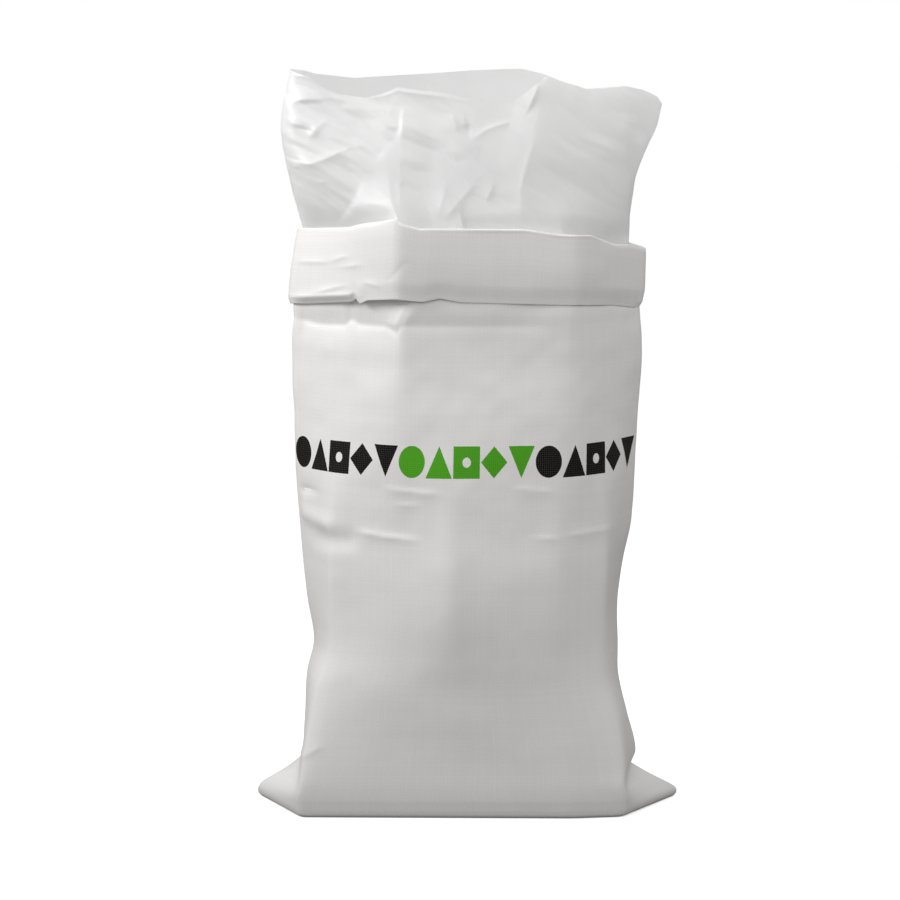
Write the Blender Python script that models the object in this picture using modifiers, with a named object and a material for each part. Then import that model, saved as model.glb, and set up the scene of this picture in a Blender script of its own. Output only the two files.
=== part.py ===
"""A 25 kg bag of sugar: a woven sack with its mouth turned down, a film bag standing up out of it, and the sugar.

Metres, +Z up, +X to the right along the flat width, +Y to the back. The origin is the middle of the base on the floor.
"""

import math

import bmesh
import bpy
from mathutils import Vector

# The empty sack, laid flat, is a tube sewn shut at one end; filling it rounds it out to the same girth.
FLAT_WIDTH = 0.500
GIRTH = 2 * FLAT_WIDTH

# The sewn end is pressed flat under the weight, and its two corners stick out as ears.
EAR_REACH = 0.2595
EAR_HEIGHT = 0.010
BASE_HALF_DEPTH = 0.104
BASE_CORNER_LEFT = 0.204
BASE_CORNER_RIGHT = 0.190
BASE_DEPTH_LEFT = 0.95
BASE_DEPTH_RIGHT = 1.12
HEEL_TUCK = 0.006

# The mouth is turned down outwards: height of the fold, depth of the cuff, and the fold's own radius.
CUFF_TOP = 0.700
CUFF_DEPTH = 0.082
FOLD_RADIUS = 0.0022

# The film bag's rim stands well above the cuff, its back higher than its front. In the mouth it lies close to the
# cloth except at the right, where it keeps only this share of the width.
FILM_RIM_FRONT = 0.857
FILM_RIM_BACK = 0.884
FILM_RIM_LEFT = 0.889
FILM_RIM_RIGHT = 0.848
FILM_NECK_GAP = 0.0035
FILM_NECK_RIGHT = 0.938
FILM_PLEAT = 0.13

# The sugar comes a little over half way up the sack, with a low heap on top.
SUGAR_LEVEL = 0.395
SUGAR_CROWN = 0.012

# Walls are thicker than the real cloth and film, so that they collide; touching pieces keep a small gap.
CLOTH = 0.0012
FILM = 0.0008
GAP = 0.0004

SEGMENTS = 40
STEP = 2 * math.pi / SEGMENTS

# The slack top of the sack is flat panels between two ridges at the front and two at the back.
RIDGE_RIGHT = (6 * STEP, 0.124, 0.93)
RIDGE_LEFT = (13 * STEP, -0.080, 1.0)
BASE_CORNER_ANGLE = 4 * STEP


# ---------------------------------------------------------------- sections


def half_depth_for(half_width):
    """Half the depth of an ellipse with this half width and the sack's girth, by halving the interval."""
    low, high = 0.01, 0.25
    for _ in range(40):
        depth = (low + high) / 2
        a, b = half_width, depth
        girth = math.pi * (3 * (a + b) - math.sqrt((3 * a + b) * (a + 3 * b)))
        low, high = (depth, high) if girth < GIRTH else (low, depth)
    return depth


def oval(left, right, depth, power=1.0):
    """A closed section: an ellipse with its own reach each side, squarer as power falls below 1."""
    points = []
    for i in range(SEGMENTS):
        c, s = math.cos(i * STEP), math.sin(i * STEP)
        reach = right if c > 0 else left
        x = reach * math.copysign(abs(c) ** power, c)
        y = depth * math.copysign(abs(s) ** power, s)
        points.append((x, y))
    return points


def panelled(left, right, depth, corners):
    """A closed section of flat panels, the same at front and back. A corner is its angle, x and share of the depth."""
    outline = [(0.0, right, 0.0), *corners, (math.pi, -left, 0.0)]
    points = []
    for i in range(SEGMENTS):
        side = 1 if i * STEP <= math.pi else -1
        turn = min(i * STEP, 2 * math.pi - i * STEP)
        for (a0, x0, y0), (a1, x1, y1) in zip(outline, outline[1:]):
            if a0 - 1e-9 <= turn <= a1 + 1e-9:
                share = (turn - a0) / (a1 - a0)
                points.append((x0 + (x1 - x0) * share, side * depth * (y0 + (y1 - y0) * share)))
                break
    return points


def mixed(first, second, share):
    """One section part of the way to another."""
    return [(ax + (bx - ax) * share, ay + (by - ay) * share) for (ax, ay), (bx, by) in zip(first, second)]


def inset(section, distance):
    """The section moved in, square to its own outline, by one distance or by one for each point."""
    distances = distance if isinstance(distance, list) else [distance] * SEGMENTS
    points = []
    for i, (x, y) in enumerate(section):
        before, after = section[i - 1], section[(i + 1) % SEGMENTS]
        along = Vector((after[0] - before[0], after[1] - before[1])).normalized()
        points.append((x - along.y * distances[i], y + along.x * distances[i]))
    return points


def around(left, right, front, back):
    """A value for each point of a ring, eased between its four sides."""
    values = []
    for i in range(SEGMENTS):
        c, s = math.cos(i * STEP), math.sin(i * STEP)
        values.append((right if c > 0 else left) * c * c + (back if s > 0 else front) * s * s)
    return values


def body_section(left, right, slack=0.0):
    """The sack at one height. slack turns the round, full section into flat panels between the ridges."""
    depth = half_depth_for((left + right) / 2)
    full = oval(left, right, depth, 0.93)
    return mixed(full, panelled(left, right, depth, [RIDGE_RIGHT, RIDGE_LEFT]), slack)


def base_section(left, right, tuck, roundness):
    """The flattened end: straight front and back, and an ear running out to a point at each side."""
    depth = BASE_HALF_DEPTH - tuck
    corner_right = (BASE_CORNER_ANGLE, BASE_CORNER_RIGHT - tuck, BASE_DEPTH_RIGHT)
    corner_left = (math.pi - BASE_CORNER_ANGLE, tuck - BASE_CORNER_LEFT, BASE_DEPTH_LEFT)
    pointed = panelled(left, right, depth, [corner_right, corner_left])
    return mixed(pointed, oval(left, right, depth, 0.9), roundness)


# ---------------------------------------------------------------- the standing sack

# Full and round below, a waist a fifth of the way up, then slack panels above the sugar.
BODY = {
    0.058: body_section(0.2055, 0.2075),
    0.108: body_section(0.2005, 0.1965),
    0.160: body_section(0.1975, 0.1845),
    0.196: body_section(0.1890, 0.1840),
    0.246: body_section(0.1955, 0.1835),
    0.296: body_section(0.2005, 0.1895),
    0.345: body_section(0.2045, 0.1995),
    SUGAR_LEVEL: body_section(0.2085, 0.2025, 0.25),
    0.470: body_section(0.2095, 0.2055, 0.60),
    0.550: body_section(0.2125, 0.2095, 0.85),
    0.615: body_section(0.2095, 0.2075, 0.85),
    CUFF_TOP: body_section(0.2005, 0.2090, 0.80),
}
HEEL = BODY[0.058]
UNDER_CUFF = BODY[0.615]
MOUTH = BODY[CUFF_TOP]

FOOT = {
    0.0: base_section(EAR_REACH - HEEL_TUCK, EAR_REACH - HEEL_TUCK, HEEL_TUCK, 0.10),
    EAR_HEIGHT: base_section(EAR_REACH, EAR_REACH, 0.0, 0.10),
    0.020: base_section(0.2515, 0.2400, -0.001, 0.25),
    0.036: mixed(base_section(0.2150, 0.2060, -0.001, 0.55), HEEL, 0.35),
}

# The film bag doesn't reach into the ears: its bottom corners are rounded.
LINING_FOOT = {
    CLOTH + GAP: oval(0.170, 0.170, 0.075, 0.8),
    0.020: inset(mixed(oval(0.198, 0.190, 0.098, 0.85), HEEL, 0.3), 0.006),
}


# ---------------------------------------------------------------- meshes


def level(section, height):
    """A section laid at one height, or at a height for each point."""
    heights = height if isinstance(height, list) else [height] * SEGMENTS
    return [(x, y, z) for (x, y), z in zip(section, heights)]


def rings_to_mesh(name, rings, closed_top=False):
    """An open surface through rings of points, its bottom filled by two smaller rings and a middle point."""
    bm = bmesh.new()

    def add_ring(points):
        return [bm.verts.new(p) for p in points]

    def join(lower, upper):
        for i in range(SEGMENTS):
            j = (i + 1) % SEGMENTS
            bm.faces.new((lower[i], lower[j], upper[j], upper[i]))

    def fill(outer, points, upwards):
        middle = sum((Vector(p) for p in points), Vector()) / SEGMENTS
        for share in (0.7, 0.35):
            inner = add_ring([middle.lerp(Vector(p), share) for p in points])
            join(*((outer, inner) if upwards else (inner, outer)))
            outer = inner
        hub = bm.verts.new(middle)
        for i in range(SEGMENTS):
            j = (i + 1) % SEGMENTS
            bm.faces.new((outer[i], outer[j], hub) if upwards else (outer[j], outer[i], hub))

    ring = add_ring(rings[0])
    fill(ring, rings[0], upwards=False)
    for points in rings[1:]:
        above = add_ring(points)
        join(ring, above)
        ring = above
    if closed_top:
        fill(ring, rings[-1], upwards=True)
    mesh = bpy.data.meshes.new(name)
    bm.to_mesh(mesh)
    bm.free()
    mesh.shade_smooth()
    return mesh


def sack_rings():
    """From the base up the wall, over the fold at the mouth and down the outside to the hem."""
    rings = [level(section, height) for height, section in FOOT.items()]
    rings += [level(section, height) for height, section in BODY.items() if height < CUFF_TOP]
    crest = [CUFF_TOP + rise for rise in around(-0.004, -0.024, 0.006, 0.0)]
    shoulder = [z - FOLD_RADIUS for z in crest]
    rings.append(level(MOUTH, shoulder))
    rings.append(level(inset(MOUTH, -FOLD_RADIUS), crest))
    rings.append(level(inset(MOUTH, -2 * FOLD_RADIUS), shoulder))
    hem = [CUFF_TOP - CUFF_DEPTH + rise for rise in around(-0.007, -0.014, 0.004, 0.002)]
    flare = around(0.0030, -0.0020, 0.0025, 0.0025)
    for share in (0.33, 0.66, 1.0):
        clear = [-2 * FOLD_RADIUS - extra * share for extra in flare]
        heights = [top + (bottom - top) * share for top, bottom in zip(shoulder, hem)]
        rings.append(level(inset(mixed(MOUTH, UNDER_CUFF, share), clear), heights))
    return rings


def film_rings():
    """Inside the sack, through the mouth, and up to the open rim with its soft pleats."""
    rings = [level(section, height) for height, section in LINING_FOOT.items()]
    rings += [level(inset(section, CLOTH + GAP), height) for height, section in BODY.items() if height < CUFF_TOP]
    neck = [(x * FILM_NECK_RIGHT if x > 0 else x, y) for x, y in MOUTH]
    rings.append(level(inset(neck, FILM_NECK_GAP), CUFF_TOP))
    rim = around(FILM_RIM_LEFT, FILM_RIM_RIGHT, FILM_RIM_FRONT, FILM_RIM_BACK)
    sections = {
        0.30: oval(0.2125, 0.1940, 0.074, 1.10),
        0.50: oval(0.2190, 0.1995, 0.067, 1.13),
        0.70: oval(0.2215, 0.2125, 0.058, 1.16),
        0.85: oval(0.2170, 0.2240, 0.050, 1.18),
        1.00: oval(0.2110, 0.2300, 0.044, 1.20),
    }
    for share, section in sections.items():
        pleated = []
        for i, (x, y) in enumerate(section):
            wave = math.sin(3.1 * i * STEP + 1.0) + 0.6 * math.sin(7 * i * STEP + 2.0 * share)
            pleated.append((x, y * (1 + FILM_PLEAT * share * wave)))
        rings.append(level(pleated, [CUFF_TOP + (z - CUFF_TOP) * share for z in rim]))
    return rings


def sugar_rings():
    """The fill, against the film all round, with a softly heaped top."""
    clear = FILM + GAP
    (base, lowest), (heel, above) = LINING_FOOT.items()
    rings = [level(inset(lowest, 0.006), base + 1.5 * clear), level(inset(above, 0.005), heel)]
    for height, section in BODY.items():
        if height <= SUGAR_LEVEL:
            shore = inset(section, CLOTH + GAP + clear)
            rings.append(level(shore, height))
    lean = around(0.004, -0.003, -0.002, 0.005)
    for share in (0.88, 0.60):
        crown = SUGAR_CROWN * (1 - share**2)
        heap = [(x * share, y * share) for x, y in shore]
        rings.append(level(heap, [SUGAR_LEVEL + crown + rise for rise in lean]))
    return rings


# ---------------------------------------------------------------- materials and objects


def finish(name, colour, roughness, alpha=1.0):
    """A plain material in a piece's own colour."""
    material = bpy.data.materials.new(name)
    material.use_nodes = True
    shader = material.node_tree.nodes["Principled BSDF"]
    shader.inputs["Base Color"].default_value = (*colour, 1.0)
    shader.inputs["Roughness"].default_value = roughness
    shader.inputs["Metallic"].default_value = 0.0
    shader.inputs["Alpha"].default_value = alpha
    return material


def add(collection, mesh, material, wall=0.0):
    """One named piece, its surface given a wall built inwards where it is a shell."""
    thing = bpy.data.objects.new(mesh.name, mesh)
    mesh.materials.append(material)
    collection.objects.link(thing)
    if wall:
        shell = thing.modifiers.new("wall", "SOLIDIFY")
        shell.thickness = wall
        shell.offset = -1.0


def build():
    """The three pieces, in a collection named for the object."""
    for old in list(bpy.data.objects):
        bpy.data.objects.remove(old, do_unlink=True)
    collection = bpy.data.collections.new("bag_of_sugar")
    bpy.context.scene.collection.children.link(collection)

    woven = finish("woven_polypropylene", (0.62, 0.61, 0.59), 0.55)
    add(collection, rings_to_mesh("sack", sack_rings()), woven, wall=CLOTH)

    polythene = finish("milky_polythene_film", (0.75, 0.76, 0.77), 0.30, alpha=0.55)
    add(collection, rings_to_mesh("liner", film_rings()), polythene, wall=FILM)

    crystals = finish("white_sugar", (0.86, 0.85, 0.82), 0.60)
    add(collection, rings_to_mesh("sugar", sugar_rings(), closed_top=True), crystals)


build()
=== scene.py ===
"""A 25 kg bag of sugar: a woven sack with its mouth turned down, a film bag standing up in it, and the sugar.

Metres, +Z up, +X to the right along the flat width, +Y to the back. The origin is the middle of the base, on
the floor.
"""

import math

import bpy
import numpy as np
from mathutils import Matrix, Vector


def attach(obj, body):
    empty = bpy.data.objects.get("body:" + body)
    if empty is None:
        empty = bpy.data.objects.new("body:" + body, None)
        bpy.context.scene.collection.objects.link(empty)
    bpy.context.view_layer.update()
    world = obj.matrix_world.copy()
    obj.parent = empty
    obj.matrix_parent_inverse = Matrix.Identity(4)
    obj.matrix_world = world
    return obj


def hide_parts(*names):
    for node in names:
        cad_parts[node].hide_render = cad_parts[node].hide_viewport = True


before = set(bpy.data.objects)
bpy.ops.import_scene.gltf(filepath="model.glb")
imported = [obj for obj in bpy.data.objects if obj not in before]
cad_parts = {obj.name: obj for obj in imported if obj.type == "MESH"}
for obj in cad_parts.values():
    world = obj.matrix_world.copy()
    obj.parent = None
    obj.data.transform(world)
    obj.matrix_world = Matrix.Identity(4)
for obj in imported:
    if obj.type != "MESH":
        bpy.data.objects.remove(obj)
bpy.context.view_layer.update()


# ---------------------------------------------------------------- the woven sack
# A tube woven from flat polypropylene tape, half a metre wide laid flat and sewn shut at the bottom. Filling
# rounds it out to the same girth. Its mouth is folded down outwards as a cuff, its raw edge rolled under.

GIRTH = 1.0
POINTS_ROUND = 320
TURN = np.linspace(math.pi, 3 * math.pi, 1441)[:-1]  # the left side, the front, the right side, the back

CUFF_TOP = 0.700
FOLD_RADIUS = 0.0022
EAR_REACH = 0.2595
BASE_DEPTH = 0.1045

# Ridges in the cloth, front and back alike: a turn from the right side, an x and a share of the depth. Two
# stand in the slack part above the load, four in the part that the load stretches. The rest are the base's.
SLACK_RIDGES = [(math.radians(54), 0.124, 0.93), (math.radians(117), -0.080, 1.0)]
LOADED_RIDGES = [
    (math.radians(35), 0.165, 0.60), (math.radians(58), 0.112, 0.93),
    (math.radians(96), -0.022, 1.06), (math.radians(145), -0.165, 0.62),
]
BASE_CORNER_TURN = math.radians(36)
BASE_FRONT_RIGHT = (math.radians(60), 0.125, 1.0)

# From the heel to the mouth: height, reach to the left and the right, how far the slack and the loaded ridges
# show, squareness (squarer below 1), share of the depth, and how far round the ridges are softened.
BODY = [
    (0.036, 0.2165, 0.2055, 0.00, 0.00, 0.55, 1.00, 0.004),
    (0.058, 0.2055, 0.2075, 0.00, 0.00, 0.56, 0.99, 0.008),
    (0.108, 0.2005, 0.1965, 0.00, 0.05, 0.60, 0.92, 0.012),
    (0.160, 0.1975, 0.1845, 0.00, 0.20, 0.68, 0.87, 0.012),
    (0.196, 0.1890, 0.1840, 0.00, 0.50, 0.76, 0.86, 0.010),
    (0.246, 0.1955, 0.1835, 0.00, 0.80, 0.86, 0.91, 0.009),
    (0.296, 0.2005, 0.1895, 0.00, 0.95, 0.90, 0.95, 0.008),
    (0.345, 0.2045, 0.1995, 0.00, 0.95, 0.92, 0.98, 0.008),
    (0.395, 0.2085, 0.2025, 0.25, 0.60, 0.93, 1.00, 0.010),
    (0.470, 0.2095, 0.2055, 0.65, 0.15, 0.93, 1.00, 0.012),
    (0.550, 0.2125, 0.2095, 0.85, 0.00, 0.93, 1.00, 0.008),
    (0.615, 0.2095, 0.2075, 0.95, 0.00, 0.93, 1.00, 0.004),
    (0.700, 0.2005, 0.2090, 0.95, 0.00, 0.93, 1.00, 0.004),
]

# The line of the fold at the mouth and the line of the hem, along the front.
CREST_FRONT = [
    (-0.205, 0.700), (-0.140, 0.704), (-0.122, 0.709), (-0.098, 0.713), (-0.084, 0.7165), (-0.079, 0.711),
    (-0.057, 0.705), (0.065, 0.704), (0.105, 0.698), (0.140, 0.6965), (0.150, 0.692), (0.170, 0.684),
    (0.190, 0.682), (0.212, 0.674),
]
HEM_FRONT = [
    (-0.2150, 0.6100), (-0.1545, 0.6160), (-0.1350, 0.6180), (-0.1300, 0.6215), (-0.1243, 0.6155),
    (-0.1153, 0.6200), (-0.0830, 0.6230), (-0.0540, 0.6198), (-0.0334, 0.6239), (-0.0100, 0.6190),
    (0.1290, 0.6152), (0.1730, 0.6111), (0.2090, 0.6040),
]
CREST_BACK = (0.699, 0.706, 0.676)  # at the left side, the middle of the back and the right side
HEM_BACK = (0.611, 0.620, 0.604)


def half_depth_for(half_width):
    """Half the depth of an ellipse with this half width and the sack's girth, by halving the interval."""
    low, high = 0.01, 0.25
    for _ in range(40):
        depth = (low + high) / 2
        root = math.sqrt((3 * half_width + depth) * (half_width + 3 * depth))
        girth = math.pi * (3 * (half_width + depth) - root)
        if girth < GIRTH:
            low = depth
        else:
            high = depth
    return depth


def oval(left, right, depth, power=1.0):
    """An ellipse with its own reach each side, squarer as power falls below 1."""
    sideways = np.cos(TURN)
    backwards = np.sin(TURN)
    reach = np.where(sideways > 0, right, left)
    x = reach * np.sign(sideways) * np.abs(sideways) ** power
    y = depth * np.sign(backwards) * np.abs(backwards) ** power
    return np.stack([x, y], axis=1)


def panelled(left, right, depth, corners):
    """Flat panels, the same at front and back. A corner is its turn, x and share of the depth."""
    outline = np.array([(0.0, right, 0.0), *corners, (math.pi, -left, 0.0)])
    whole = np.mod(TURN, 2 * math.pi)
    turn = np.minimum(whole, 2 * math.pi - whole)
    side = np.where(np.sin(TURN) >= 0, 1.0, -1.0)
    x = np.interp(turn, outline[:, 0], outline[:, 1])
    y = side * depth * np.interp(turn, outline[:, 0], outline[:, 2])
    return np.stack([x, y], axis=1)


def body_section(left, right, slack, loaded, square, depth_share):
    """The sack at one height: round, turned towards flat panels between its ridges."""
    depth = half_depth_for((left + right) / 2) * depth_share
    full = oval(left, right, depth, square)
    slack_panels = panelled(left, right, depth, SLACK_RIDGES)
    loaded_panels = panelled(left, right, depth, LOADED_RIDGES)
    return full + (slack_panels - full) * slack + (loaded_panels - full) * loaded


def base_section(left, right, tuck):
    """The flattened end: straight front and back, and an ear running out to a point at each side."""
    depth = BASE_DEPTH - 0.0005 - tuck
    corner_right = (BASE_CORNER_TURN, 0.188 - tuck, 0.93)
    corner_left = (math.pi - BASE_CORNER_TURN, tuck - 0.204, 0.95)
    return panelled(left, right, depth, [corner_right, BASE_FRONT_RIGHT, corner_left])


def laid_round(section, shares):
    """Points on a closed section at these shares of the way round it."""
    closed = np.vstack([section, section[:1]])
    run = np.concatenate([[0.0], np.cumsum(np.hypot(*np.diff(closed, axis=0).T))])
    return np.stack([np.interp(shares * run[-1], run, closed[:, k]) for k in (0, 1)], axis=1)


def smooth_through(heights, stations, values):
    """Values at these heights, on a smooth curve through the values at the stations."""
    stations = np.asarray(stations, float)
    values = np.asarray(values, float)
    slopes = np.gradient(values, stations, axis=0)
    at = np.clip(np.searchsorted(stations, heights, side="right") - 1, 0, len(stations) - 2)
    gap = stations[at + 1] - stations[at]
    t = (heights - stations[at]) / gap
    shape = (-1,) + (1,) * (values.ndim - 1)
    t = t.reshape(shape)
    gap = gap.reshape(shape)
    return (
        values[at] * (1 + 2 * t) * (1 - t) ** 2
        + slopes[at] * gap * t * (1 - t) ** 2
        + values[at + 1] * t * t * (3 - 2 * t)
        + slopes[at + 1] * gap * t * t * (t - 1)
    )


def ramp(value, start, end):
    """0 before start, 1 after end, eased between."""
    t = np.clip((value - start) / (end - start), 0.0, 1.0)
    return t * t * (3 - 2 * t)


def outward(rings):
    """The level direction square to each ring, pointing out of the sack, eased round its sharp side edges."""
    along = np.roll(rings[..., :2], -5, axis=-2) - np.roll(rings[..., :2], 5, axis=-2)
    along /= np.maximum(np.linalg.norm(along, axis=-1, keepdims=True), 1e-9)
    return np.stack([along[..., 1], -along[..., 0]], axis=-1)


def soft_noise(u, v, cells_round, cell, seed):
    """Smooth random heights from -1 to 1. It closes on itself after one turn of u."""
    rows = 256
    table = np.random.default_rng(seed).uniform(-1, 1, (cells_round, rows))
    a = u * cells_round
    b = v / cell + 40
    column = np.floor(a).astype(int)
    row = np.floor(b).astype(int)
    a_part = ramp(a - column, 0.0, 1.0)
    b_part = ramp(b - row, 0.0, 1.0)
    corner = [[table[(column + i) % cells_round, (row + j) % rows] for j in (0, 1)] for i in (0, 1)]
    low = corner[0][0] + (corner[1][0] - corner[0][0]) * a_part
    high = corner[0][1] + (corner[1][1] - corner[0][1]) * a_part
    return low + (high - low) * b_part


def fold(x, z, line, height, above, below, power=1.0, ends=0.012):
    """A crease running across the cloth along a line of (x, z) points: its height, its reach each way and how
    sharp it is, from a power of 1 for a creased edge to 2 for a soft swelling. It dies away past its ends."""
    xs, zs = np.array(line).T
    off = z - np.interp(x, xs, zs)
    reach = np.where(off > 0, above, below)
    fade = ramp(x, xs[0] - ends, xs[0] + ends) * (1 - ramp(x, xs[-1] - ends, xs[-1] + ends))
    return height * fade * np.exp(-((np.abs(off) / reach) ** power))


# Where the points of every ring lie on the way round, from the left side by the front: denser at the front.
way_round = np.linspace(0, 1, 4001)
frontness = 0.5 + 0.5 * np.cos(2 * math.pi * (way_round - 0.25))
counted = np.concatenate([[0.0], np.cumsum(0.62 + 0.76 * frontness[:-1])])
shares = np.interp(np.linspace(0, counted[-1], POINTS_ROUND + 1)[:-1], counted, way_round)


def softened(section, reach):
    """The section with its ridges rounded over this reach, and its two side edges left as they are."""
    count = 1000
    fine = laid_round(section, np.linspace(0, 1, count, endpoint=False))
    waves = np.fft.fftfreq(count) * count
    blur = np.exp(-0.5 * (2 * math.pi * waves * reach / GIRTH) ** 2)[:, None]
    blurred = np.fft.ifft(np.fft.fft(fine, axis=0) * blur, axis=0).real
    half = np.linspace(0, 0.5, count // 2, endpoint=False)
    apart = ramp(0.25 - np.abs(half - 0.25), 0.04, 0.10)
    return fine + (blurred - fine) * np.concatenate([apart, apart])[:, None]


# The flattened end up to the heel: height, reach to the left and the right, and how far it is tucked in.
FOOT = [
    (0.0000, EAR_REACH - 0.0050, EAR_REACH - 0.0050, 0.0050),
    (0.0030, EAR_REACH - 0.0014, EAR_REACH - 0.0014, 0.0016),
    (0.0060, EAR_REACH - 0.0005, EAR_REACH - 0.0005, 0.0008),
    (0.0100, EAR_REACH - 0.0005, EAR_REACH - 0.0015, 0.0002),
    (0.0140, 0.2575, 0.2535, 0.0000),
    (0.0200, 0.2520, 0.2420, -0.0005),
    (0.0280, 0.2370, 0.2255, -0.0005),
]
stations = [row[0] for row in FOOT] + [row[0] for row in BODY]
sections = [laid_round(softened(base_section(*row[1:]), 0.003), shares) for row in FOOT]
for height, left, right, slack, loaded, square, depth_share, softening in BODY:
    section = body_section(left, right, slack, loaded, square, depth_share)
    corner_right = (BASE_CORNER_TURN, min(0.188, right - 0.010), 0.93 - 1.2 * (height - BODY[0][0]))
    corner_left = (math.pi - BASE_CORNER_TURN, -min(0.2035, left - 0.003), 0.95)
    boxed = panelled(left, right, BASE_DEPTH, [corner_right, BASE_FRONT_RIGHT, corner_left])
    # The load packs the low part square to the corners of the base, higher up the left side than the right.
    boxed_left = 1 - ramp(height, 0.03, 0.26)
    boxed_right = 1 - ramp(height, 0.03, 0.22)
    low = boxed_left + (boxed_right - boxed_left) * ramp(section[:, :1], -0.05, 0.08)
    section = softened(section + (boxed - section) * low, softening)
    sections.append(laid_round(section, shares))


def front_and_back(x, front_line, back_heights):
    """A height for each point of the mouth: a drawn line along the front, an even sweep along the back."""
    left, middle, right = back_heights
    side = np.clip((x + 0.2) / 0.41, 0, 1)
    sweep = left + (right - left) * side + (middle - (left + right) / 2) * np.sin(math.pi * side) ** 0.7
    front = np.interp(x, *np.array(front_line).T)
    return np.where(shares < 0.5, front, sweep)


def wall(heights, clear=0.0):
    """The standing wall at these heights, with its dents and creases, set in from its face by a distance."""
    rings = smooth_through(heights, stations, np.array(sections))
    x = rings[..., 0]
    z = np.broadcast_to(np.asarray(heights)[:, None], rings.shape[:2])
    u = np.broadcast_to(shares[None, :], x.shape)
    front = ramp(0.25 - np.abs(u - 0.25), 0.0, 0.02)
    above_heel = ramp(z, 0.03, 0.09)

    # The whole cloth: slow swells from the load, then short buckles that are stronger where it is slack.
    slack = ramp(z, 0.30, 0.45)
    swell = 0.0016 * soft_noise(u, z, 7, 0.16, 11) + 0.0009 * soft_noise(u, z, 14, 0.07, 12)
    buckle = 0.0006 * soft_noise(u + 0.05 * z, z, 26, 0.030, 13)
    buckle += 0.0003 * soft_noise(u - 0.1 * z, z, 50, 0.018, 14)
    out = (swell * (0.5 + 0.5 * slack) + buckle * (0.5 + 0.7 * slack)) * above_heel

    # The cuff's weight and grip press the wall in under the hem, down to a sharp crease.
    neck_crease = [
        (-0.2053, 0.5905), (-0.1810, 0.5860), (-0.1500, 0.5868), (-0.1430, 0.5943), (-0.1330, 0.5885),
        (-0.1020, 0.5888), (-0.0868, 0.5815), (-0.0810, 0.5896), (0.2100, 0.5880),
    ]
    line = np.interp(x, *np.array(neck_crease).T)
    grip = 0.0076 - 0.0042 * ramp(x, -0.10, -0.07) - 0.0030 * ramp(x, 0.03, 0.13)
    above = 1 - np.clip((z - line) / 0.028, 0, 1)
    below = 0.8 * np.exp((z - line) / 0.032) + 0.2 * np.exp((z - line) / 0.0025)
    pinch = np.where(z > line, above, np.minimum(below, 1))
    out += -grip * pinch * (0.4 + 0.6 * front)
    out += -0.0022 * ramp(z, 0.600, 0.625) * (1 - ramp(z, 0.645, 0.680))

    # The left ridge runs on down the front of the loaded part, lower and rounder.
    ridge = [
        (0.100, -0.0080), (0.147, -0.0099), (0.220, -0.0159), (0.316, -0.0218), (0.411, -0.0335),
        (0.440, -0.0360),
    ]
    away = np.sqrt((x - np.interp(z, *np.array(ridge).T)) ** 2 + 0.006**2)
    out += front * 0.0030 * np.exp(-away / 0.050) * ramp(z, 0.05, 0.14) * (1 - ramp(z, 0.38, 0.47))

    # Creases and dents across the front where the slack part buckles over the full part.
    marks = [
        ([(-0.0945, 0.3989), (-0.0522, 0.3956), (-0.0381, 0.3958)], 0.0018, 0.0022, 0.0060, 1.0),
        ([(-0.0840, 0.3798), (-0.0593, 0.3803)], 0.0010, 0.0020, 0.0040, 1.0),
        ([(-0.2140, 0.3584), (-0.1828, 0.3533), (-0.1623, 0.3505)], 0.0030, 0.0110, 0.0100, 2.0),
        ([(-0.1282, 0.3452), (-0.1006, 0.3416), (-0.0629, 0.3392)], 0.0026, 0.0030, 0.0070, 1.0),
        ([(-0.1837, 0.3310), (-0.1337, 0.3335)], -0.0034, 0.0120, 0.0120, 2.0),
        ([(-0.2116, 0.3885), (-0.1984, 0.3845), (-0.1852, 0.3867)], -0.0030, 0.0080, 0.0050, 1.4),
        ([(0.0542, 0.4003), (0.0967, 0.3964)], 0.0012, 0.0025, 0.0050, 1.0),
        ([(0.0779, 0.3420), (0.1054, 0.3400)], 0.0013, 0.0025, 0.0050, 1.0),
        ([(0.1186, 0.3438), (0.1680, 0.3457)], 0.0017, 0.0030, 0.0060, 1.0),
        ([(-0.2014, 0.0710), (-0.1784, 0.0859)], 0.0016, 0.0045, 0.0030, 1.0),
    ]
    for line, height, above, below, power in marks:
        out += front * fold(x, z, line, height, above, below, power)

    # The back buckles at the same heights, less sharply.
    back_marks = [
        ([(-0.1700, 0.3950), (-0.1100, 0.3860), (-0.0700, 0.3880)], 0.0020, 0.0060, 0.0026, 1.0),
        ([(0.0300, 0.3620), (0.0900, 0.3520), (0.1300, 0.3560)], 0.0024, 0.0070, 0.0028, 1.0),
        ([(-0.0600, 0.3200), (0.0000, 0.3140)], 0.0016, 0.0060, 0.0026, 1.0),
        ([(0.0800, 0.4300), (0.1500, 0.4200)], 0.0016, 0.0060, 0.0026, 1.0),
        ([(-0.1900, 0.3300), (-0.1500, 0.3350)], -0.0030, 0.0120, 0.0100, 2.0),
    ]
    for line, height, above, below, power in back_marks:
        out += (1 - front) * fold(x, z, line, height, above, below, power)

    rings[..., :2] += outward(rings) * (out - clear)[..., None]

    # Under the cuff the left ridge leans over to the right in a small three-cornered fold.
    lean = np.clip((z - 0.593) / 0.024, 0, 1) * (1 - ramp(z, 0.64, 0.68))
    rings[..., 0] += 0.015 * front * lean * np.exp(-(((x + 0.078) / 0.030) ** 2))
    return np.concatenate([rings, z[..., None]], axis=-1)


def lifted(rings, crest):
    """The top of the wall, stretched so that its last ring meets the line of the fold."""
    share = ramp(rings[..., 2], 0.600, CUFF_TOP)
    rings[..., 2] += share * (crest[None, :] - FOLD_RADIUS - CUFF_TOP)
    return rings


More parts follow.
